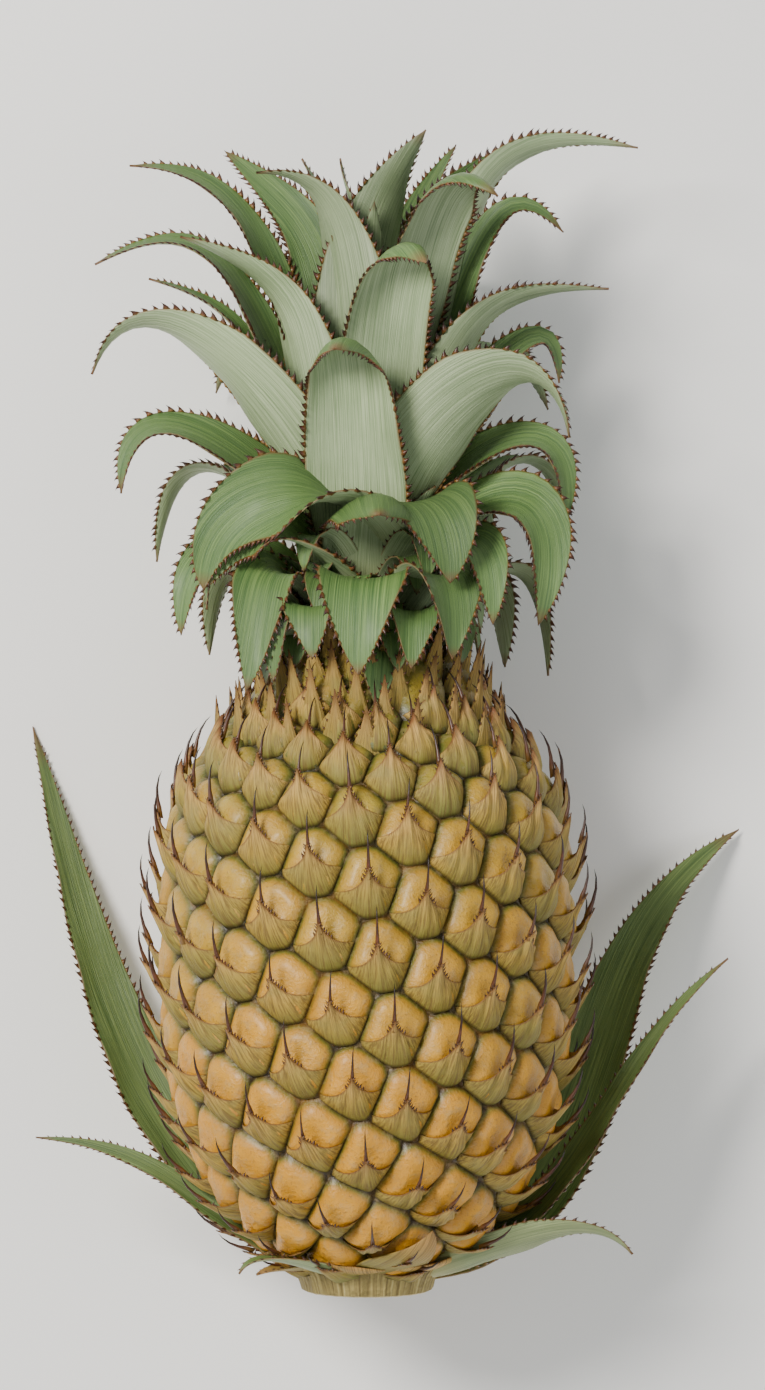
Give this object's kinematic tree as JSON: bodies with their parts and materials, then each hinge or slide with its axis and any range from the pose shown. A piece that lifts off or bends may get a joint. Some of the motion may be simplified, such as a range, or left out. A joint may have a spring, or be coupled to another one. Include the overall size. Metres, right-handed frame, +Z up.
{
  "type": "pineapple fruit",
  "caption": "Ripe pineapple fruit cut from its plant, lying on its side, with scaly eyes, a short cut stalk, serrated leaves at its foot and a full spiny leaf crown.",
  "frame": {"origin": "on the floor, under the centre of the whole plant's box", "axes": "+Y along the plant's own axis, from the cut stalk to the crown's point, +Z up off the floor, +X to the right seen from above with the crown away from the viewer"},
  "size_m": [0.2418, 0.379, 0.1376],
  "materials": {
    "fruit": "satin",
    "stem": "matte",
    "crown_leaf": "satin",
    "stalk_leaf": "satin"
  },
  "bodies": {
    "root": {"fruit": "fruit", "cut_stem": "stem", "crown_heart": "crown_leaf", "base_leaf_left_big": "stalk_leaf", "base_leaf_left_small": "stalk_leaf", "base_leaf_right_big": "stalk_leaf", "base_leaf_right_slim": "stalk_leaf", "base_leaf_right_low": "stalk_leaf", "leaf_hood_lower": "crown_leaf", "leaf_hood_upper": "crown_leaf", "leaf_front_low": "crown_leaf", "leaf_front_low_left": "crown_leaf", "leaf_front_low_right": "crown_leaf", "leaf_left_low_small": "crown_leaf", "leaf_left_low_long": "crown_leaf", "leaf_left_hanging": "crown_leaf", "leaf_left_short": "crown_leaf", "leaf_left_bow_low": "crown_leaf", "leaf_left_bow": "crown_leaf", "leaf_front_bow": "crown_leaf", "leaf_right_bow": "crown_leaf", "leaf_right_low_broad": "crown_leaf", "leaf_right_low": "crown_leaf", "leaf_right_hanging": "crown_leaf", "leaf_right_arched": "crown_leaf", "leaf_right_broad": "crown_leaf", "leaf_right_curled": "crown_leaf", "leaf_right_long": "crown_leaf", "leaf_right_hooked": "crown_leaf", "leaf_top_right_long": "crown_leaf", "leaf_top_right_back": "crown_leaf", "leaf_top_right_hood": "crown_leaf", "leaf_top_right_slim": "crown_leaf", "leaf_top_broad": "crown_leaf", "leaf_top_left_broad": "crown_leaf", "leaf_top_left_back": "crown_leaf", "leaf_top_mid_back": "crown_leaf", "leaf_top_small": "crown_leaf", "leaf_left_top_long": "crown_leaf", "leaf_left_upper_long": "crown_leaf", "leaf_left_upper_broad": "crown_leaf", "leaf_left_slim": "crown_leaf", "leaf_left_broad": "crown_leaf", "leaf_left_arched": "crown_leaf", "leaf_back_low_a": "crown_leaf", "leaf_back_low_b": "crown_leaf", "leaf_back_low_c": "crown_leaf", "leaf_back_low_d": "crown_leaf", "leaf_back_low_e": "crown_leaf", "leaf_back_low_f": "crown_leaf", "leaf_back_mid_a": "crown_leaf", "leaf_back_mid_b": "crown_leaf", "leaf_back_mid_c": "crown_leaf", "leaf_back_mid_d": "crown_leaf", "leaf_back_mid_e": "crown_leaf", "leaf_back_high_a": "crown_leaf", "leaf_back_high_b": "crown_leaf", "leaf_back_high_c": "crown_leaf", "leaf_back_top_a": "crown_leaf", "leaf_back_top_b": "crown_leaf"}
  },
  "joints": []
}
